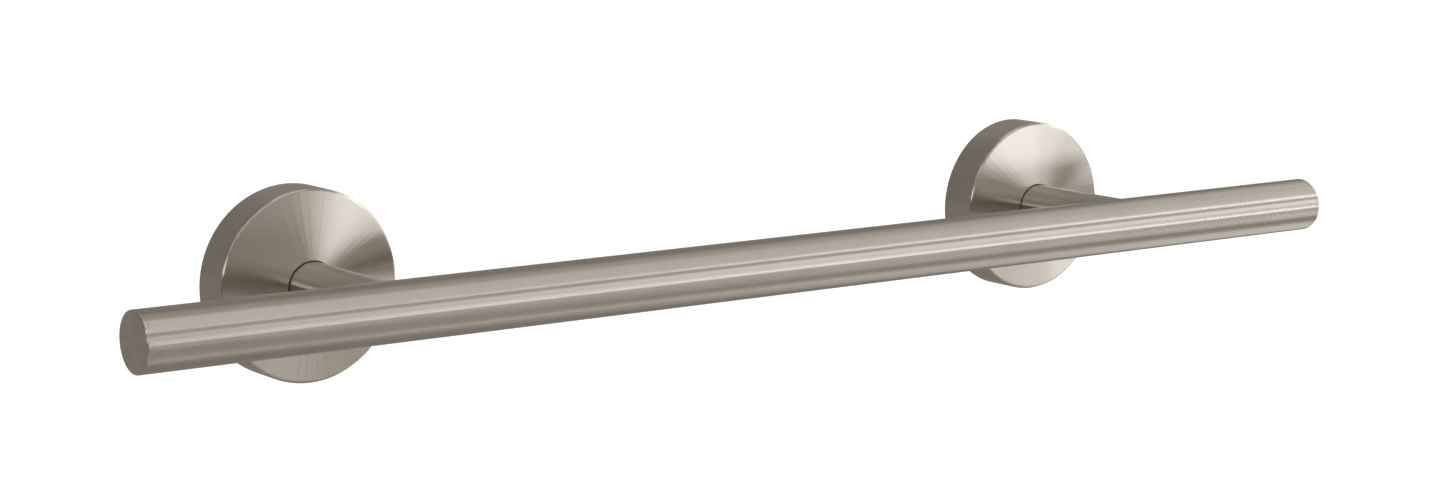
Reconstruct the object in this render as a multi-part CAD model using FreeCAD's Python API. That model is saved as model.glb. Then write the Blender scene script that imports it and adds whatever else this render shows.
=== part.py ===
import FreeCAD, Part
import math
import os

# Wall grab bar. A straight round tube runs past two round posts that stand square off the wall.
# Each post is screwed to a round wall plate, and a drawn round cover hides the plate and its screws.
# All sizes are in millimetres.
# The wall is the plane Y = 0, the bar lies in front of it at negative Y, and +Z is up.
# The origin is on the wall, midway between the two posts.

# The bar
bar_diameter = 25.4
bar_wall = 1.5
bar_length = 635.0
bar_standoff = 92.0

# The end caps, turned plugs as wide as the tube
cap_thickness = 2.2
cap_edge_round = 0.8
cap_spigot_length = 9.0
cap_spigot_lead = 0.8
cap_fit = 0.05

# The posts, coped to the tube, welded all round and ground smooth
post_spacing = 406.4
post_diameter = 21.7
weld_radius = 3.0
weld_toe_bite = 0.15
post_foot_chamfer = 0.4

# The wall plates behind the covers
plate_thickness = 6.0
plate_rim_clearance = 1.1
plate_edge_chamfer = 0.5
plate_recess_depth = 1.2
plate_recess_fit = 0.05
wall_screw_spacing = 57.0
wall_screw_hole_diameter = 5.5

# The rubber rings that grip the covers
ring_cord_diameter = 2.0
ring_to_cover_gap = 0.3
ring_seat_gap = 0.05
groove_side_gap = 0.15

# The countersunk screws that hold each post to its plate
screw_diameter = 8.0
screw_head_diameter = 15.0
screw_head_land = 0.4
screw_head_sink = 0.2
screw_length = 28.0
screw_tip_chamfer = 0.8
screw_hole_fit = 0.2
screw_thread_fit = 0.05
socket_across_flats = 5.0
socket_depth = 2.6
bore_end_room = 3.0

# The covers, drawn from sheet, with a shallow cone for a face
cover_diameter = 83.4
cover_depth = 19.8
cover_sheet = 1.0
cover_face_rise = 2.4
cover_shoulder_round = 1.5
cover_hole_gap = 0.35
cover_hole_chamfer = 0.3
cover_wall_gap = 0.3

# Worked out from the sizes above
bar_radius = bar_diameter / 2
post_radius = post_diameter / 2
cover_radius = cover_diameter / 2
cover_inside_radius = cover_radius - cover_sheet
cover_hole_radius = post_radius + cover_hole_gap
plate_radius = cover_inside_radius - plate_rim_clearance
screw_radius = screw_diameter / 2
ring_cord_radius = ring_cord_diameter / 2
overlap = 1.0
closeness = 1e-4

RIGHT_WAY = FreeCAD.Vector(1, 0, 0)
OFF_WALL = FreeCAD.Vector(0, -1, 0)
TO_WALL = FreeCAD.Vector(0, 1, 0)


def on_axis(depth):
    """The point of a post's axis that is so far off the wall."""
    return FreeCAD.Vector(0, -depth, 0)


def rod(radius, start, end):
    """A round rod along a post's axis, between two distances off the wall."""
    return Part.makeCylinder(radius, end - start, on_axis(start), OFF_WALL)


def cone(start_radius, end_radius, start, end):
    """A cone along a post's axis, between two distances off the wall."""
    return Part.makeCone(start_radius, end_radius, end - start, on_axis(start), OFF_WALL)


def turned(outline):
    """Turns an outline of (radius, distance off the wall) corners about a post's axis."""
    corners = [FreeCAD.Vector(radius, -depth, 0) for radius, depth in outline]
    face = Part.Face(Part.makePolygon(corners + corners[:1]))
    return face.revolve(on_axis(0), TO_WALL, 360)


def rims(solid, radius, depth):
    """The circular edges of a turned piece at one radius and one distance off the wall."""
    found = []
    for edge in solid.Edges:
        curve = edge.Curve
        if not isinstance(curve, Part.Circle):
            continue
        if abs(curve.Radius - radius) < closeness and abs(curve.Center.y + depth) < closeness:
            found.append(edge)
    return found


def along_bar(radius, start, end):
    """A round rod on the bar's axis, between two places along X."""
    return Part.makeCylinder(radius, end - start, FreeCAD.Vector(start, -bar_standoff, 0), RIGHT_WAY)


def bar_tube():
    """The tube, cut square at both ends to leave room for the caps."""
    half = bar_length / 2 - cap_thickness
    bore = along_bar(bar_radius - bar_wall, -half - overlap, half + overlap)
    return along_bar(bar_radius, -half, half).cut(bore)


def end_cap(side):
    """A plug with a rounded disc that closes the tube and a spigot pressed into its bore."""
    inner = bar_length / 2 - cap_thickness
    outer = bar_length / 2
    spigot_radius = bar_radius - bar_wall - cap_fit
    disc = along_bar(bar_radius, inner, outer)
    front = [edge for edge in disc.Edges if abs(edge.BoundBox.XMin - outer) < closeness]
    disc = disc.makeFillet(cap_edge_round, front)
    spigot = along_bar(spigot_radius, inner - cap_spigot_length, inner)
    lead = [edge for edge in spigot.Edges if edge.BoundBox.XMax < inner - closeness]
    spigot = spigot.makeChamfer(cap_spigot_lead, lead)
    cap = disc.fuse(spigot).removeSplitter()
    if side < 0:
        cap = cap.mirror(on_axis(0), RIGHT_WAY)
    return cap


def post_foot():
    """How far off the wall the foot of a post is seated in its plate."""
    return plate_thickness - plate_recess_depth


def post():
    """A solid post whose far end is coped to the tube, with the weld's ground fillet round it."""
    foot = post_foot()
    stem = rod(post_radius, foot, bar_standoff)
    reach = 2 * post_radius + weld_radius
    weld_root = along_bar(bar_radius - weld_toe_bite, -reach, reach)
    joined = stem.fuse(weld_root)
    seam = [edge for edge in joined.Edges if isinstance(edge.Curve, Part.BSplineCurve)]
    joined = joined.makeFillet(weld_radius, seam)
    coped = joined.cut(along_bar(bar_radius, -reach - overlap, reach + overlap))
    coped = coped.makeChamfer(post_foot_chamfer, rims(coped, post_radius, foot))
    screw_end = screw_head_sink + screw_length
    bore = rod(screw_radius + screw_thread_fit, foot - overlap, screw_end + bore_end_room)
    return coped.cut(bore)


def ring_radius():
    """The radius of the grip ring's middle circle, just clear of the cover's inside."""
    return cover_inside_radius - ring_to_cover_gap - ring_cord_radius


def wall_plate():
    """A thick disc, recessed for the post, drilled for wall screws and grooved for the ring."""
    disc = rod(plate_radius, 0, plate_thickness)
    edges = rims(disc, plate_radius, 0) + rims(disc, plate_radius, plate_thickness)
    disc = disc.makeChamfer(plate_edge_chamfer, edges)

    foot = post_foot()
    recess = rod(post_radius + plate_recess_fit, foot, plate_thickness + overlap)
    clear_radius = screw_radius + screw_hole_fit
    clear_hole = rod(clear_radius, -overlap, plate_thickness + overlap)
    mouth_radius = screw_head_diameter / 2 + screw_hole_fit
    land_end = screw_head_sink + screw_head_land
    mouth = rod(mouth_radius, -overlap, land_end)
    taper = cone(mouth_radius, clear_radius, land_end, land_end + mouth_radius - clear_radius)
    disc = disc.cut(recess).cut(clear_hole).cut(mouth).cut(taper)

    for way in (-1, 1):
        hole = rod(wall_screw_hole_diameter / 2, -overlap, plate_thickness + overlap)
        hole.translate(FreeCAD.Vector(0, 0, way * wall_screw_spacing / 2))
        disc = disc.cut(hole)

    middle = plate_thickness / 2
    half_width = ring_cord_radius + groove_side_gap
    floor_radius = ring_radius() - ring_cord_radius - ring_seat_gap
    band = rod(plate_radius + overlap, middle - half_width, middle + half_width)
    core = rod(floor_radius, middle - half_width - overlap, middle + half_width + overlap)
    return disc.cut(band.cut(core))


def grip_ring():
    """The rubber ring in the groove of the plate's rim."""
    return Part.makeTorus(ring_radius(), ring_cord_radius, on_axis(plate_thickness / 2), OFF_WALL)


def post_screw():
    """A countersunk screw with a hexagon socket, driven from the back of the plate."""
    head_radius = screw_head_diameter / 2
    land_end = screw_head_sink + screw_head_land
    head_end = land_end + head_radius - screw_radius
    tip = screw_head_sink + screw_length
    screw = turned([
        (0, screw_head_sink),
        (head_radius, screw_head_sink),
        (head_radius, land_end),
        (screw_radius, head_end),
        (screw_radius, tip - screw_tip_chamfer),
        (screw_radius - screw_tip_chamfer, tip),
        (0, tip),
    ])
    corner_radius = socket_across_flats / math.sqrt(3)
    sides = 6
    corners = []
    for count in range(sides + 1):
        turn = 2 * math.pi * count / sides
        x = corner_radius * math.cos(turn)
        z = corner_radius * math.sin(turn)
        corners.append(FreeCAD.Vector(x, -screw_head_sink + overlap, z))
    hexagon = Part.Face(Part.makePolygon(corners))
    return screw.cut(hexagon.extrude(OFF_WALL * (socket_depth + overlap)))


def cup(radius, back, skin, round_radius):
    """A filled cup with a shallow cone for a face, drawn in from the cover's outside by a skin."""
    shoulder = cover_depth - skin
    nose = shoulder + cover_face_rise
    form = turned([
        (0, back),
        (radius, back),
        (radius, shoulder),
        (cover_hole_radius, nose),
        (0, nose),
    ])
    return form.makeFillet(round_radius, rims(form, radius, shoulder))


def cover():
    """The drawn cover: outside less inside, with a chamfered hole that clears the post."""
    outside = cup(cover_radius, cover_wall_gap, 0, cover_shoulder_round)
    inside_round = cover_shoulder_round - cover_sheet
    inside = cup(cover_inside_radius, cover_wall_gap - overlap, cover_sheet, inside_round)
    nose = cover_depth + cover_face_rise
    shell = outside.cut(inside)
    shell = shell.cut(rod(cover_hole_radius, 0, nose + overlap))
    mouth_radius = cover_hole_radius + cover_hole_chamfer
    mouth = cone(cover_hole_radius, mouth_radius + overlap, nose - cover_hole_chamfer, nose + overlap)
    return shell.cut(mouth)


def write(name, shape):
    """Writes one piece, and prints its volume and whether it is one sound solid."""
    shape.exportStep("parts/" + name + ".step")
    print(name, round(shape.Volume), "mm3, solids", len(shape.Solids), ", sound", shape.isValid())


os.makedirs("parts", exist_ok=True)
write("bar_tube", bar_tube())
for side_name, side in (("left", -1), ("right", 1)):
    write(side_name + "_end_cap", end_cap(side))
    place = RIGHT_WAY * (side * post_spacing / 2)
    for piece_name, make in (
        ("post", post),
        ("wall_plate", wall_plate),
        ("grip_ring", grip_ring),
        ("post_screw", post_screw),
        ("cover", cover),
    ):
        piece = make()
        piece.translate(place)
        write(side_name + "_" + piece_name, piece)
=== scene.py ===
# %% [markdown]
# A brushed grab bar for a shower wall.
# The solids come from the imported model: a tube, two caps, two posts, two covers and what the covers hide.
# This lesson gives them their finish. It loads the frame first, so that every new surface can be
# measured against the solid that it stands for.

# %% Load the frame
import math

import bpy
import numpy as np
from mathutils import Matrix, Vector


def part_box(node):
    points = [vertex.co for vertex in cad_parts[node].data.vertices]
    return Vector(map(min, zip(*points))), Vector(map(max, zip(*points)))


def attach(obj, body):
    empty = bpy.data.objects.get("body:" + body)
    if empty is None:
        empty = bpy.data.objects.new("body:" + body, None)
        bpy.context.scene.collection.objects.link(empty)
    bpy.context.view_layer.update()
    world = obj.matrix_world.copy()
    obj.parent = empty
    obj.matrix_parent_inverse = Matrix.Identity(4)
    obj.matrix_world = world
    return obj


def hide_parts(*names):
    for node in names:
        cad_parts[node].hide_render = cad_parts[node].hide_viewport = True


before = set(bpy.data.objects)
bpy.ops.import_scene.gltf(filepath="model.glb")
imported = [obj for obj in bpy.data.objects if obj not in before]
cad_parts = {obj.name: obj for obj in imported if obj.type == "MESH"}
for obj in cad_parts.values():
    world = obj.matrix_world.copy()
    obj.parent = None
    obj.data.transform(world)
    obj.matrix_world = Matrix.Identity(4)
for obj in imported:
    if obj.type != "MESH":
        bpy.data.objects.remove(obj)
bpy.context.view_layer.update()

# %% [markdown]
# The sizes are those of the real bar, in metres, and each one is written once.
# The long ones are read from the frame, so the looks follow the solids.
# The bar lies along X, the wall is the plane Y = 0 behind it, and Z points up.

# %% Sizes
MM = 0.001

tube_low, tube_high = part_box("bar_tube")
_, cap_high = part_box("right_end_cap")
cover_low, cover_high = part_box("right_cover")

tube_radius = (tube_high.z - tube_low.z) / 2
tube_end = tube_high.x
bar_end = cap_high.x
standoff = -(tube_low.y + tube_high.y) / 2
post_place = (cover_low.x + cover_high.x) / 2
cover_radius = (cover_high.z - cover_low.z) / 2
cover_back = -cover_high.y
cover_nose = -cover_low.y

tube_wall = 1.5 * MM
cap_round = 0.8 * MM
cap_spigot_length = 9.0 * MM
cap_spigot_lead = 0.8 * MM
cap_fit = 0.05 * MM
seam_round = 0.12 * MM

post_radius = 10.85 * MM
post_foot = 4.8 * MM
post_chamfer = 0.4 * MM
post_bore_radius = 4.05 * MM
post_bore_end = 31.2 * MM
weld_radius = 3.0 * MM
weld_bite = 0.15 * MM

cover_sheet = 1.0 * MM
cover_rise = 2.4 * MM
cover_shoulder = 1.5 * MM
cover_hole_radius = 11.2 * MM
cover_hole_chamfer = 0.3 * MM
sheared_edge = 0.12 * MM

print("tube radius", tube_radius, "standoff", standoff, "posts at", post_place)

# %% [markdown]
# Colours are written as sRGB hex values, the way a paint chart gives them, but the shader
# works with linear light. This function turns one into the other.

# %% Colour helper
def linear(text):
    """Turns sRGB hex to linear: small parts are divided by 12.92, the rest follow the 2.4 power curve."""
    parts = np.array([int(text[place:place + 2], 16) for place in (1, 3, 5)]) / 255
    curve = ((parts + 0.055) / 1.055) ** 2.4
    return (*np.where(parts <= 0.04045, parts / 12.92, curve).tolist(), 1.0)


# %% [markdown]
# A material or a world is a tree of nodes, which is emptied first. Each node is added the same
# way: its kind, its own settings, and for each input either a number or the socket of an
# earlier node.

# %% Node helpers
def empty_tree(owner):
    """Gives a material or a world its tree of nodes, with nothing in it."""
    owner.use_nodes = True
    owner.node_tree.nodes.clear()
    return owner.node_tree


def add(tree, kind, settings=(), inputs=()):
    """Adds one node with its settings, and links or sets each input by name or number."""
    node = tree.nodes.new(kind)
    for name, value in dict(settings).items():
        setattr(node, name, value)
    for key, value in dict(inputs).items():
        if isinstance(value, bpy.types.NodeSocket):
            tree.links.new(value, node.inputs[key])
        else:
            node.inputs[key].default_value = value
    return node


# %% [markdown]
# Every visible piece of this bar is round about some axis. A spinning tool could turn an
# outline into a mesh, but here the points are worked out as one array instead: the rows follow
# the outline and the columns go round. The same function closes the poles, writes the UV map
# and turns the faces outwards, whichever way the outline was drawn.

# %% Mesh helper
SHARP_ANGLE = 40


def surface(name, points, along, looped):
    """Makes a mesh of a grid of points, shaped (rows, columns, 3).
    The columns close on themselves. The rows close too if looped, and else end in two poles.
    U is the way along the outline in metres, V the share of a turn."""
    rows, columns, _ = points.shape
    spans = rows if looped else rows - 1
    row, column = np.meshgrid(np.arange(spans), np.arange(columns), indexing="ij")
    corner_row = np.stack([row, row + 1, row + 1, row], -1).reshape(-1, 4)
    corner_column = np.stack([column, column, column + 1, column + 1], -1).reshape(-1, 4)
    vertex = (corner_row % rows) * columns + corner_column % columns
    if not looped:
        vertex[corner_row == 0] = 0
        vertex[corner_row == rows - 1] = (rows - 1) * columns
    flat = points.reshape(-1, 3)
    a, b, c, d = flat[vertex.T]
    volume = np.einsum("ij,ij->", a, np.cross(b, c) + np.cross(c, d)) / 6
    way = 1 if volume > 0 else -1
    vertex, corner_row, corner_column = vertex[:, ::way], corner_row[:, ::way], corner_column[:, ::way]

    keep = vertex != np.roll(vertex, 1, axis=1)
    count = keep.sum(axis=1)
    used, corner = np.unique(vertex[keep], return_inverse=True)
    mesh = bpy.data.meshes.new(name)
    mesh.vertices.add(len(used))
    mesh.vertices.foreach_set("co", flat[used].ravel())
    mesh.loops.add(len(corner))
    mesh.loops.foreach_set("vertex_index", corner.ravel())
    mesh.polygons.add(len(count))
    mesh.polygons.foreach_set("loop_start", np.cumsum(count) - count)
    mesh.update(calc_edges=True)

    length = np.append(along, along[-1] + np.linalg.norm(points[-1, 0] - points[0, 0]))
    u = length[corner_row[keep]]
    v = corner_column[keep] / columns
    mesh.uv_layers.new(name="turned").data.foreach_set("uv", np.stack([u, v], -1).ravel())
    mesh.polygons.foreach_set("use_smooth", np.ones(len(count), bool))
    mesh.set_sharp_from_angle(angle=math.radians(SHARP_ANGLE))
    piece = bpy.data.objects.new(name, mesh)
    bpy.context.scene.collection.objects.link(piece)
    print(name, len(mesh.polygons), "faces, volume", round(abs(volume) / MM ** 3), "mm3")
    return piece


# %% [markdown]
# An outline is a short list of corners, each with the radius that rounds it. Real edges are
# never quite sharp, and that small round is what catches the light along a rim.
# Beside each round the straight stretch gets one more point, so that the smooth shading
# bends only in the round and the flats stay flat. The shortest stretches do without.

# %% Outline helpers
ROUND_STEPS = 8
BESIDE = 0.15 * MM
SHORTEST = 3 * BESIDE


def rounded(corners, looped):
    """Rounds each (x, y, radius) corner: its arc touches both sides at radius / tan(half the angle)."""
    corners = np.array(corners, float)
    path = []
    for index, (*corner, radius) in enumerate(corners):
        if radius == 0 or (not looped and index in (0, len(corners) - 1)):
            path.append(np.array([corner]))
            continue
        back = corners[index - 1, :2] - corner
        ahead = corners[(index + 1) % len(corners), :2] - corner
        back /= np.linalg.norm(back)
        ahead /= np.linalg.norm(ahead)
        half = math.acos(np.clip(back @ ahead, -1, 1)) / 2
        middle = corner + (back + ahead) / np.linalg.norm(back + ahead) * radius / math.sin(half)
        start = corner + back * radius / math.tan(half) - middle
        end = corner + ahead * radius / math.tan(half) - middle
        turn = math.pi - 2 * half
        share = np.linspace(0, 1, ROUND_STEPS + 1)[:, None]
        arc = (start * np.sin((1 - share) * turn) + end * np.sin(share * turn)) / math.sin(turn)
        path.append(middle + arc)
    path = np.concatenate(path)
    if looped:
        path = np.vstack([path, path[:1]])
    step = np.diff(path, axis=0)
    length = np.linalg.norm(step, axis=1)[:, None]
    near = path[:-1] + step / length * BESIDE
    far = path[1:] - step / length * BESIDE
    long = length[:, 0] > SHORTEST
    full = np.stack([path[:-1], near, far], 1)
    wanted = np.stack([np.ones_like(long), long, long], 1)
    full = full[wanted]
    return full if looped else np.vstack([full, path[-1:]])


def turned(name, outline, place, columns, looped):
    """Turns an outline of (radius, distance) about an axis: radius times cosine and sine round it.
    place gives the world point for the distance along the axis and the two ways across it."""
    turn = np.linspace(0, 2 * math.pi, columns, endpoint=False)
    radius, distance = outline.T
    across = radius[:, None] * np.cos(turn)
    up = radius[:, None] * np.sin(turn)
    points = place(np.broadcast_to(distance[:, None], across.shape), across, up)
    along = np.append(0, np.cumsum(np.linalg.norm(np.diff(outline, axis=0), axis=1)))
    return surface(name, points, along, looped)


def on_bar(distance, across, up):
    """The bar's axis runs along X, in front of the wall."""
    return np.stack([distance, across - standoff, up], -1)


def on_post(side):
    """A post's axis runs off the wall along -Y, at its own place along X."""
    def place(distance, across, up):
        return np.stack([across + side * post_place, -distance, up], -1)
    return place


# %% [markdown]
# The bar is a drawn tube, ground on a belt while it turns. The tube's outline is a loop:
# outside, end, bore and end again. Its ends are broken by a hair, and so are the caps, so
# that a fine seam shows where they meet, as it does on the real bar.

# %% The tube and its caps
BAR_COLUMNS = 128

bore_radius = tube_radius - tube_wall
tube_outline = rounded([
    (tube_radius, -tube_end, seam_round),
    (tube_radius, tube_end, seam_round),
    (bore_radius, tube_end, 0),
    (bore_radius, -tube_end, 0),
], looped=True)
tube = turned("ground_tube", tube_outline, on_bar, BAR_COLUMNS, looped=True)
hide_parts("bar_tube")
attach(tube, "fixed_bar")

spigot_radius = bore_radius - cap_fit
caps = []
for side_name, side in (("left", -1), ("right", 1)):
    cap_outline = rounded([
        (0, tube_end - cap_spigot_length, 0),
        (spigot_radius - cap_spigot_lead, tube_end - cap_spigot_length, 0),
        (spigot_radius, tube_end - cap_spigot_length + cap_spigot_lead, 0),
        (spigot_radius, tube_end, 0),
        (tube_radius, tube_end, seam_round),
        (tube_radius, bar_end, cap_round),
        (0, bar_end, 0),
    ], looped=False)
    cap_outline[:, 1] *= side
    cap = turned(side_name + "_turned_cap", cap_outline, on_bar, BAR_COLUMNS, looped=False)
    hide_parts(side_name + "_end_cap")
    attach(cap, "fixed_bar")
    caps.append(cap)

# %% [markdown]
# A post is coped to the tube, welded and ground, so its far end flows into the bar. That
# blend is what a ball leaves when it rolls in the corner between the two cylinders: the
# ball's middle is one ball radius off both of them, which fixes it for every angle round the
# post. A fillet tool would give the same form, but the formula gives even rows to shade.
# The ball rolls on a tube thinner by weld_bite, so the weld meets the real one at a small
# angle instead of thinning to nothing.

# %% The posts
POST_COLUMNS = 144
FINE_STEPS = 400
BALL_STEPS = 14
SEAT_SHARES = (0.75, 0.5, 0.25, 0.0)


def post_points(side):
    """Rows of points from the bore's end, out over the foot, up the side, over the weld and
    in across the seat on the tube. Each weld row is the ball's middle plus its radius times
    a direction that turns evenly from the post's side to the tube's. Fine steps first find the
    share of that turn at which the arc meets the tube, and the rows stop there."""
    turn = np.linspace(0, 2 * math.pi, POST_COLUMNS, endpoint=False)
    ring = np.stack([np.cos(turn), np.zeros_like(turn), np.sin(turn)], -1)
    out = np.array([0.0, -1.0, 0.0])
    foot = [
        (0.0, post_bore_end),
        (post_bore_radius, post_bore_end),
        (post_bore_radius, post_foot),
        (post_radius - post_chamfer, post_foot),
        (post_radius, post_foot + post_chamfer),
        (post_radius, post_foot + post_chamfer + BESIDE),
    ]
    rows = [radius * ring + depth * out for radius, depth in foot]

    root_radius = tube_radius - weld_bite
    middle = (post_radius + weld_radius) * ring
    gap = np.sqrt((root_radius + weld_radius) ** 2 - middle[:, 2] ** 2)
    middle = middle + (standoff - gap)[:, None] * out
    from_tube = middle - (standoff * out + np.array([1.0, 0.0, 0.0]) * middle[:, :1])
    to_post = -ring
    to_tube = -from_tube / np.linalg.norm(from_tube, axis=1)[:, None]
    angle = np.arccos(np.clip((to_post * to_tube).sum(1), -1, 1))[:, None]

    fine = np.linspace(0, 1, FINE_STEPS)[:, None, None]
    arc = (to_post * np.sin((1 - fine) * angle) + to_tube * np.sin(fine * angle)) / np.sin(angle)
    arc = middle + weld_radius * arc
    height = np.hypot(arc[..., 1] + standoff, arc[..., 2])
    stop = (height > tube_radius).sum(0) / len(fine)
    share = np.linspace(0, 1, BALL_STEPS)[:, None, None] * stop[:, None]
    arc = (to_post * np.sin((1 - share) * angle) + to_tube * np.sin(share * angle)) / np.sin(angle)
    rows.append(post_radius * ring + (-middle[:, 1:2] - BESIDE) * out)
    rows.extend(middle + weld_radius * arc)

    toe = rows[-1]
    for inward in SEAT_SHARES:
        spot = toe * [inward, 0, inward]
        depth = standoff - np.sqrt(tube_radius ** 2 - spot[:, 2] ** 2)
        rows.append(spot + depth[:, None] * out)
    points = np.array(rows)
    points[..., 0] += side * post_place
    return points


posts = []
for side_name, side in (("left", -1), ("right", 1)):
    points = post_points(side)
    reach = np.linalg.norm(np.diff(points, axis=0), axis=2).mean(axis=1)
    post = surface(side_name + "_welded_post", points, np.append(0, np.cumsum(reach)), looped=False)
    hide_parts(side_name + "_post")
    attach(post, "fixed_bar")
    posts.append(post)

# %% [markdown]
# Each cover is drawn from sheet steel: a deep cup with a rounded shoulder and a face that
# rises a little towards the hole. The outline runs once round the sheet's section, outside
# and inside, so the cover stays a real shell when it slides off its plate.

# %% The covers
COVER_COLUMNS = 224

inside_radius = cover_radius - cover_sheet
shoulder_depth = cover_nose - cover_rise
cover_outline = rounded([
    (cover_radius, cover_back, sheared_edge),
    (cover_radius, shoulder_depth, cover_shoulder),
    (cover_hole_radius + cover_hole_chamfer, cover_nose, 0),
    (cover_hole_radius, cover_nose - cover_hole_chamfer, 0),
    (cover_hole_radius, cover_nose - cover_sheet, 0),
    (inside_radius, shoulder_depth - cover_sheet, cover_shoulder - cover_sheet),
    (inside_radius, cover_back, sheared_edge),
], looped=True)

covers = []
for side_name, side in (("left", -1), ("right", 1)):
    cover = turned(side_name + "_drawn_cover", cover_outline, on_post(side), COVER_COLUMNS, looped=True)
    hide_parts(side_name + "_cover")
    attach(cover, side_name + "_sliding_cover")
    covers.append(cover)

# %% [markdown]
# The metal is stainless steel with a satin nickel plate. It was brushed while it turned, which
# leaves fine grooves that run round each piece. Light spreads across the grooves and stays
# sharp along them. So a lamp shows on the tube as a line that runs its whole length, and on a
# cover's face as a fan of light with its point at the post.
# A pattern of grooves fine enough to do this would be far too small to draw. The shader's
# anisotropy does it instead, and needs a tangent across the grooves: the U of the UV map.
#
# What is left to draw is the unevenness of the brushing. Three noises share one set of
# coordinates. The first is long round the piece and short across it, for single strokes. Real
# strokes are about 0.05 mm wide and are drawn ten times as wide to show. The second has no
# direction, for the cloudy tone of the plating. The third depends only on the heading from the
# axis, so on a cover's face it makes rays, where the brush pressed a little harder or softer.

# %% Brushing pattern
STROKE_WIDTH = 0.5 * MM
STROKE_LENGTH = 30 * MM
CLOUD_SIZE = 25 * MM
RAY_COUNT = 16


def axis_sockets(tree, spot, axis):
    """For a spot on a piece turned about the bar's axis or about the posts' axes: the way from
    the axis as a vector, its length, and the distance along the axis."""
    x, y, z = add(tree, "ShaderNodeSeparateXYZ", (), {0: spot}).outputs
    if axis == "bar":
        far = add(tree, "ShaderNodeMath", {"operation": "ABSOLUTE"}, {0: x})
        aside = add(tree, "ShaderNodeMath", {"operation": "ADD"}, {0: y, 1: standoff})
    else:
        far = add(tree, "ShaderNodeMath", {"operation": "MULTIPLY"}, {0: y, 1: -1.0})
        aside = add(tree, "ShaderNodeMath", {"operation": "ABSOLUTE"}, {0: x})
        aside = add(
            tree, "ShaderNodeMath", {"operation": "SUBTRACT"},
            {0: aside.outputs[0], 1: post_place},
        )
    flat = add(tree, "ShaderNodeCombineXYZ", (), {0: aside.outputs[0], 2: z}).outputs[0]
    radius = add(tree, "ShaderNodeVectorMath", {"operation": "LENGTH"}, {0: flat})
    return flat, radius.outputs["Value"], far.outputs[0]


def brushing(tree, axis):
    """Three noise sockets: single strokes, the cloudy tone, and the rays from the axis.
    Across the strokes runs the outline: the distance from the axis less the way along it."""
    spot = add(tree, "ShaderNodeTexCoord").outputs["Object"]
    flat, radius, far = axis_sockets(tree, spot, axis)
    across = add(tree, "ShaderNodeMath", {"operation": "SUBTRACT"}, {0: radius, 1: far})
    step = add(
        tree, "ShaderNodeMath", {"operation": "MULTIPLY"},
        {0: across.outputs[0], 1: 1 / STROKE_WIDTH},
    )
    step = add(tree, "ShaderNodeCombineXYZ", (), {1: step.outputs[0]})
    stroke = add(
        tree, "ShaderNodeVectorMath", {"operation": "SCALE"},
        {0: flat, "Scale": 1 / STROKE_LENGTH},
    )
    stroke = add(
        tree, "ShaderNodeVectorMath", {"operation": "ADD"},
        {0: stroke.outputs[0], 1: step.outputs[0]},
    )
    strokes = add(
        tree, "ShaderNodeTexNoise", (),
        {"Vector": stroke.outputs[0], "Scale": 1.0, "Detail": 3.0, "Roughness": 0.65},
    )
    clouds = add(
        tree, "ShaderNodeTexNoise", (),
        {"Vector": spot, "Scale": 1 / CLOUD_SIZE, "Detail": 2.0},
    )
    heading = add(tree, "ShaderNodeVectorMath", {"operation": "NORMALIZE"}, {0: flat})
    rays = add(
        tree, "ShaderNodeTexNoise", (),
        {"Vector": heading.outputs[0], "Scale": RAY_COUNT, "Detail": 3.0, "Roughness": 0.6},
    )
    return strokes.outputs["Fac"], clouds.outputs["Fac"], rays.outputs["Fac"]


# %% [markdown]
# The satin metal itself is one shader. "spread" is its anisotropy: at 1 the light spreads ten
# times as far across the grooves as along them. The strokes change its tone and its roughness
# by a percent or less. The strokes and the rays also tilt it, by a height far smaller than they
# are wide, because a highlight this narrow moves at the least tilt.
# Most noise lies between 0.3 and 0.7, so that range is spread over each value's limits.

# %% Satin metal
NOISE_LOW = 0.3
NOISE_HIGH = 0.7
CLOUD_TONE = 0.02
ROUGH_PER_TONE = 0.25


def spread_noise(tree, noise, middle, swing):
    """Turns noise into a value that swings evenly about its middle."""
    limits = {
        "From Min": NOISE_LOW, "From Max": NOISE_HIGH,
        "To Min": middle - swing, "To Max": middle + swing,
    }
    return add(tree, "ShaderNodeMapRange", (), {"Value": noise, **limits}).outputs[0]


def brushed(name, axis, colour, rough, spread, marks, stroke_depth, ray_depth):
    """Metal brushed round an axis. marks is the share by which the strokes change its tone."""
    material = bpy.data.materials.new(name)
    tree = empty_tree(material)
    strokes, clouds, rays = brushing(tree, axis)
    stroke_tone = spread_noise(tree, strokes, 1.0, marks)
    cloud_tone = spread_noise(tree, clouds, 1.0, CLOUD_TONE)
    tone = add(
        tree, "ShaderNodeMath", {"operation": "MULTIPLY"}, {0: stroke_tone, 1: cloud_tone},
    )
    tint = add(
        tree, "ShaderNodeVectorMath", {"operation": "SCALE"},
        {0: linear(colour)[:3], "Scale": tone.outputs[0]},
    )
    roughness = spread_noise(tree, strokes, rough, marks * ROUGH_PER_TONE)
    stroke_bump = add(tree, "ShaderNodeBump", (), {"Distance": stroke_depth, "Height": strokes})
    ray_bump = add(
        tree, "ShaderNodeBump", (),
        {"Distance": ray_depth, "Height": rays, "Normal": stroke_bump.outputs[0]},
    )
    tangent = add(tree, "ShaderNodeTangent", {"direction_type": "UV_MAP", "uv_map": "turned"})
    metal = add(
        tree, "ShaderNodeBsdfPrincipled", (),
        {"Base Color": tint.outputs[0], "Metallic": 1.0, "Roughness": roughness,
         "Anisotropic": spread, "Tangent": tangent.outputs[0], "Normal": ray_bump.outputs[0]},
    )
    add(tree, "ShaderNodeOutputMaterial", (), {"Surface": metal.outputs[0]})
    return material


# %% [markdown]
# Satin nickel is a warm pale grey. The bar and its caps were ground on a belt, the posts by
# hand, and the covers spun against a pad, which is the most even of the three. The eye sees
# long lines on the bar, softer ones on the posts and clean fans on the covers.

# %% Satin nickel on each piece
NICKEL = "#D2CABE"

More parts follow.
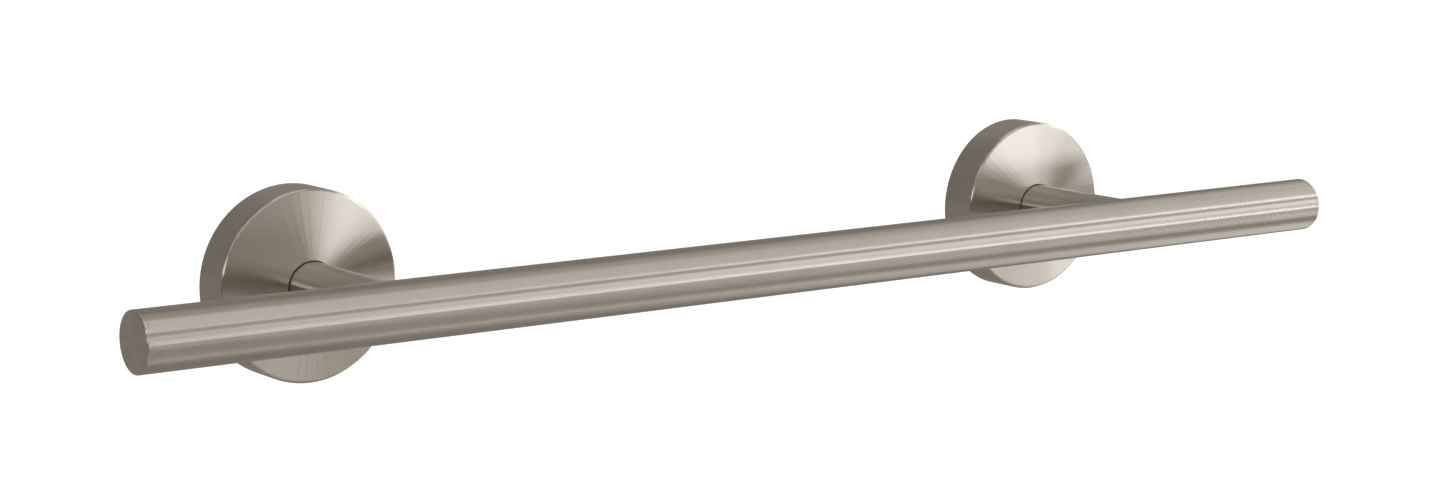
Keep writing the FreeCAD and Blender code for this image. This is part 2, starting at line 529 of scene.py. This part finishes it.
bar_nickel = brushed(
    "belt_ground_satin_nickel", axis="bar", colour=NICKEL, rough=0.27, spread=0.97,
    marks=0.008, stroke_depth=0.00003 * MM, ray_depth=0.0,
)
post_nickel = brushed(
    "hand_ground_satin_nickel", axis="post", colour=NICKEL, rough=0.26, spread=0.95,
    marks=0.008, stroke_depth=0.0001 * MM, ray_depth=0.0,
)
cover_nickel = brushed(
    "spun_satin_nickel", axis="post", colour=NICKEL, rough=0.2515, spread=1.0,
    marks=0.004, stroke_depth=0.0005 * MM, ray_depth=0.03 * MM,
)
for piece in (tube, *caps):
    piece.data.materials.append(bar_nickel)
for piece in posts:
    piece.data.materials.append(post_nickel)
for piece in covers:
    piece.data.materials.append(cover_nickel)
print(len(caps) + len(posts) + len(covers) + 1, "pieces finished in satin nickel")

# %% [markdown]
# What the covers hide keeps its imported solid, because a plate, a screw and a ring are already
# the right shape, and gets only a finish. The finishes share one helper: a noise makes a grain
# of a given size, which changes the colour a little and raises the surface by a hair.
# On a plate the grain is stretched into rings about the post, the way a lathe tool leaves them.

# %% Helper for the hidden finishes
GRAIN_TONE = 0.98
GRAIN_SWING = 0.1


def plain(name, colour, metallic, rough, grain, grain_depth, rings):
    """A finish whose grain is noise: blobs of the size given, or rings of that width."""
    material = bpy.data.materials.new(name)
    tree = empty_tree(material)
    spot = add(tree, "ShaderNodeTexCoord").outputs["Object"]
    if rings:
        _, radius, far = axis_sockets(tree, spot, "post")
        spot = add(tree, "ShaderNodeCombineXYZ", (), {0: radius, 1: far}).outputs[0]
    noise = add(
        tree, "ShaderNodeTexNoise", (),
        {"Vector": spot, "Scale": 1 / grain, "Detail": 3.0},
    )
    shade = spread_noise(tree, noise.outputs["Fac"], GRAIN_TONE, GRAIN_SWING)
    tint = add(
        tree, "ShaderNodeVectorMath", {"operation": "SCALE"},
        {0: linear(colour)[:3], "Scale": shade},
    )
    bump = add(
        tree, "ShaderNodeBump", (),
        {"Distance": grain_depth, "Height": noise.outputs["Fac"]},
    )
    body = add(
        tree, "ShaderNodeBsdfPrincipled", (),
        {"Base Color": tint.outputs[0], "Metallic": metallic, "Roughness": rough,
         "Normal": bump.outputs[0]},
    )
    add(tree, "ShaderNodeOutputMaterial", (), {"Surface": body.outputs[0]})
    return material


# %% [markdown]
# The plates are plain steel, faced on a lathe, so the eye sees a cool grey with fine rings.
# The cutting marks are about 0.15 mm apart and are drawn 0.8 mm wide to show.
# The screws have a black oxide finish, nearly black with a dull metal gloss. The grip rings
# are moulded black rubber, matt and slightly grainy.

# %% Hidden finishes
faced_steel = plain(
    "lathe_faced_steel", "#C6C8C9", metallic=1.0, rough=0.34,
    grain=0.8 * MM, grain_depth=0.01 * MM, rings=True,
)
black_oxide = plain(
    "black_oxide_steel", "#2B2A2A", metallic=1.0, rough=0.45,
    grain=0.6 * MM, grain_depth=0.01 * MM, rings=False,
)
black_rubber = plain(
    "moulded_black_rubber", "#1C1C1D", metallic=0.0, rough=0.62,
    grain=0.8 * MM, grain_depth=0.02 * MM, rings=False,
)
hidden = {"wall_plate": faced_steel, "post_screw": black_oxide, "grip_ring": black_rubber}
for side_name in ("left", "right"):
    for node_name, material in hidden.items():
        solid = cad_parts[side_name + "_" + node_name]
        solid.data.materials.clear()
        solid.data.materials.append(material)
        print(solid.name, "gets", material.name)

# %% [markdown]
# Brushed metal has hardly a colour of its own: it shows the room, smeared across its grooves.
# So the room is what has to be right. A photographer hangs soft boxes and dark cards round a
# shiny bar until each line falls where it should. Here they are patches of light on the
# world's sphere. Each is given by the angles that it spans as seen from the bar: "round" the
# bar's axis, from 0 in front through 90 overhead to 180 behind, and "along" it, from -90 at
# the left to 90 at the right. A patch with a negative level is a dark card. "edge" and "fade"
# are how soft its borders are, in degrees, round and along. A span that runs past 180 or past
# 90 ends there. The room itself is a dim grey, and the boxes do the rest.

# %% The soft boxes
ROOM_LEVEL = 0.28
SOFT_BOXES = {
    "haze_middle": {"round": (18, 32), "along": (-21.5, 19.5), "level": 0.23, "edge": 3, "fade": 3},
    "overhead_mid": {"round": (38.5, 48), "along": (-51.5, 7.5), "level": 1.57, "edge": 3, "fade": 5},
    "overhead_left": {"round": (48.5, 84), "along": (0, 27), "level": 0.59, "edge": 3, "fade": 1.5},
    "front_right": {"round": (-25, 23), "along": (25.5, 42), "level": 0.53, "edge": 3, "fade": 1.5},
    "front_line": {"round": (-11, -4), "along": (35.5, 64.5), "level": 2.75, "edge": 1.2, "fade": 2},
    "upper_line": {"round": (9, 26.5), "along": (36.5, 94.5), "level": 0.91, "edge": 1.2, "fade": 3},
    "high_line": {"round": (40, 49), "along": (45, 59), "level": 2.62, "edge": 1.2, "fade": 3},
    "high_right": {"round": (7.5, 57), "along": (48.5, 62), "level": 1.00, "edge": 3, "fade": 4},
    "side_right": {"round": (-110, 147), "along": (68, 99), "level": 0.56, "edge": 3, "fade": 5},
    "low_left": {"round": (-77, -41.5), "along": (-15.5, 48.5), "level": 0.13, "edge": 4, "fade": 5},
    "low_right": {"round": (-58, -33), "along": (50, 77.5), "level": 2.18, "edge": 4, "fade": 5},
    "overhead_soft": {"round": (47, 115.5), "along": (-0.5, 73.5), "level": 0.16, "edge": 3, "fade": 4},
    "above_right": {"round": (102, 150.5), "along": (47.5, 99), "level": 1.10, "edge": 4, "fade": 5},
    "under_right": {"round": (-131.5, -83), "along": (42, 52), "level": 1.50, "edge": 4, "fade": 5},
    "dark_behind": {"round": (-9.5, 181), "along": (-85, -7), "level": -0.06, "edge": 4, "fade": 5},
    "front_left": {"round": (-3, 8), "along": (29, 43.5), "level": 1.73, "edge": 3, "fade": 2},
    "left_lamp": {"round": (5.5, 21), "along": (-48.5, -36.5), "level": 3.84, "edge": 2, "fade": 3},
    "top_strip": {"round": (36, 94), "along": (48, 62), "level": 0.56, "edge": 3, "fade": 4},
    "right_rim": {"round": (21, 61), "along": (-38.5, -30), "level": 0.33, "edge": 3, "fade": 3},
    "fan_left": {"round": (17.5, 31.5), "along": (30, 37), "level": 0.16, "edge": 3, "fade": 2},
    "line_top": {"round": (42, 45), "along": (38, 50), "level": 1.40, "edge": 1, "fade": 1.5},
    "front_low": {"round": (-24, -14), "along": (40, 60), "level": 0.30, "edge": 3, "fade": 3},
    "low_line": {"round": (-80.5, -63.5), "along": (31, 42), "level": 0.29, "edge": 3, "fade": 3},
    "line_right": {"round": (50, 112), "along": (57, 69), "level": 0.90, "edge": 3, "fade": 2},
}
print(len(SOFT_BOXES), "soft boxes and dark cards")

# %% [markdown]
# A patch is one inside its span and zero outside it. Two smooth steps make such a span, one
# that rises and one that falls, and a patch is the span round times the span along.

# %% Span helper
def between(tree, angle, low, high, soft):
    """One inside a span of degrees and zero outside it, with smooth edges."""
    rise = add(
        tree, "ShaderNodeMapRange", {"interpolation_type": "SMOOTHSTEP"},
        {"Value": angle, "From Min": low - soft, "From Max": low + soft},
    )
    fall = add(
        tree, "ShaderNodeMapRange", {"interpolation_type": "SMOOTHSTEP"},
        {"Value": angle, "From Min": high - soft, "From Max": high + soft,
         "To Min": 1.0, "To Max": 0.0},
    )
    both = add(
        tree, "ShaderNodeMath", {"operation": "MULTIPLY"},
        {0: rise.outputs[0], 1: fall.outputs[0]},
    )
    return both.outputs[0]


# %% [markdown]
# The world turns the direction of sight into the two angles, adds up the patches and gives
# each kind of ray what it needs. Glossy rays see the studio. Other rays see a plain room, so
# the rubber and the floor are lit evenly. Camera rays see white, which is the backdrop.
# The dim parts of the studio are slightly warm and the bright boxes slightly cool, as walls
# and lamps are in a real one. The node that mixes the two tones has sockets for numbers and
# vectors as well, so those for colours go by their places in its lists.

# %% The world
COLOUR_A = 6
COLOUR_B = 7
COLOUR_OUT = 2
PLAIN_LEVEL = 0.75
WARM_DIM = "#FFF9F4"
COOL_BRIGHT = "#F6F9FF"
DIM_LEVEL = 0.3
BRIGHT_LEVEL = 1.6

world = bpy.data.worlds.new("white_studio")
bpy.context.scene.world = world
tree = empty_tree(world)
sight = add(tree, "ShaderNodeTexCoord")
sight = add(tree, "ShaderNodeSeparateXYZ", (), {0: sight.outputs["Generated"]})
front = add(tree, "ShaderNodeMath", {"operation": "MULTIPLY"}, {0: sight.outputs["Y"], 1: -1.0})
about = add(
    tree, "ShaderNodeMath", {"operation": "ARCTAN2"},
    {0: sight.outputs["Z"], 1: front.outputs[0]},
)
about = add(tree, "ShaderNodeMath", {"operation": "DEGREES"}, {0: about.outputs[0]})
along = add(tree, "ShaderNodeMath", {"operation": "ARCSINE"}, {0: sight.outputs["X"]})
along = add(tree, "ShaderNodeMath", {"operation": "DEGREES"}, {0: along.outputs[0]})
glow = add(tree, "ShaderNodeValue")
glow.outputs[0].default_value = ROOM_LEVEL
for box in SOFT_BOXES.values():
    inside = between(tree, about.outputs[0], *box["round"], box["edge"])
    beside = between(tree, along.outputs[0], *box["along"], box["fade"])
    box_glow = add(tree, "ShaderNodeMath", {"operation": "MULTIPLY"}, {0: inside, 1: beside})
    glow = add(
        tree, "ShaderNodeMath", {"operation": "MULTIPLY_ADD"},
        {0: box_glow.outputs[0], 1: box["level"], 2: glow.outputs[0]},
    )
glow = add(tree, "ShaderNodeMath", {"operation": "MAXIMUM"}, {0: glow.outputs[0], 1: 0.0})
coolness = add(
    tree, "ShaderNodeMapRange", {"interpolation_type": "SMOOTHSTEP"},
    {"Value": glow.outputs[0], "From Min": DIM_LEVEL, "From Max": BRIGHT_LEVEL},
)
tone = add(
    tree, "ShaderNodeMix", {"data_type": "RGBA"},
    {"Factor": coolness.outputs[0],
     COLOUR_A: linear(WARM_DIM), COLOUR_B: linear(COOL_BRIGHT)},
)
studio = add(
    tree, "ShaderNodeBackground", (),
    {"Color": tone.outputs[COLOUR_OUT], "Strength": glow.outputs[0]},
)
white = linear("#FFFFFF")
room = add(tree, "ShaderNodeBackground", (), {"Color": white, "Strength": PLAIN_LEVEL})
backdrop = add(tree, "ShaderNodeBackground", (), {"Color": white, "Strength": 1.0})
ray = add(tree, "ShaderNodeLightPath")
lit = add(
    tree, "ShaderNodeMixShader", (),
    {0: ray.outputs["Is Glossy Ray"], 1: room.outputs[0], 2: studio.outputs[0]},
)
seen = add(
    tree, "ShaderNodeMixShader", (),
    {0: ray.outputs["Is Camera Ray"], 1: lit.outputs[0], 2: backdrop.outputs[0]},
)
add(tree, "ShaderNodeOutputWorld", (), {"Surface": seen.outputs[0]})
print("world made of", len(tree.nodes), "nodes")

# %% [markdown]
# The floor is a plain pale sheet well below the bar, because the bar hangs on a wall. It
# glows a little for the camera alone, so that it stays white. One large lamp overhead gives
# the floor its soft shadow and lights whatever isn't metal.

# %% The floor and the lamp
FLOOR_DROP = 0.45
FLOOR_HALF = 4.0
FLOOR_GLOW = 0.4
LAMP_HEIGHT = 1.6
LAMP_SIZE = 1.4
LAMP_POWER = 9.0

corners = np.array([(-1, -1, 0), (1, -1, 0), (1, 1, 0), (-1, 1, 0)]) * FLOOR_HALF
floor_mesh = bpy.data.meshes.new("floor")
floor_mesh.from_pydata((corners - (0, 0, FLOOR_DROP)).tolist(), [], [(0, 1, 2, 3)])
floor = bpy.data.objects.new("floor", floor_mesh)
bpy.context.scene.collection.objects.link(floor)
floor.visible_glossy = False

floor_paint = bpy.data.materials.new("matt_white_floor")
tree = empty_tree(floor_paint)
ray = add(tree, "ShaderNodeLightPath")
matt = add(tree, "ShaderNodeBsdfDiffuse", (), {"Color": linear("#F4F3F1")})
extra = add(
    tree, "ShaderNodeMath", {"operation": "MULTIPLY"},
    {0: ray.outputs["Is Camera Ray"], 1: FLOOR_GLOW},
)
shine = add(
    tree, "ShaderNodeEmission", (),
    {"Color": linear("#FFFFFF"), "Strength": extra.outputs[0]},
)
both = add(tree, "ShaderNodeAddShader", (), {0: matt.outputs[0], 1: shine.outputs[0]})
add(tree, "ShaderNodeOutputMaterial", (), {"Surface": both.outputs[0]})
floor_mesh.materials.append(floor_paint)

lamp_data = bpy.data.lights.new("overhead_lamp", "AREA")
lamp_data.size = LAMP_SIZE
lamp_data.energy = LAMP_POWER
lamp = bpy.data.objects.new("overhead_lamp", lamp_data)
lamp.location = (0.0, -standoff, LAMP_HEIGHT)
lamp.visible_glossy = False
bpy.context.scene.collection.objects.link(lamp)

# %% [markdown]
# The camera stands to the left of the bar and a little above it. Its place and heading were
# worked out from the outlines in the photograph, for a lens with no shift.

# %% The camera
AIM = (-0.0425, -0.092, 0.0095)
HEADING = math.radians(35.73)
DIP = math.radians(9.24)
ROLL = math.radians(-0.10)
REACH = 1.3033
LENS = 75.26
SENSOR = 36.0

camera_data = bpy.data.cameras.new("camera")
camera_data.sensor_fit = "HORIZONTAL"
camera_data.sensor_width = SENSOR
camera_data.lens = LENS
camera = bpy.data.objects.new("camera", camera_data)
bpy.context.scene.collection.objects.link(camera)
forward = np.array([
    math.sin(HEADING) * math.cos(DIP),
    math.cos(HEADING) * math.cos(DIP),
    -math.sin(DIP),
])
camera.location = np.array(AIM) - REACH * forward
camera.rotation_euler = (math.pi / 2 - DIP, ROLL, -HEADING)
bpy.context.scene.camera = camera
bpy.context.scene.view_settings.view_transform = "Standard"
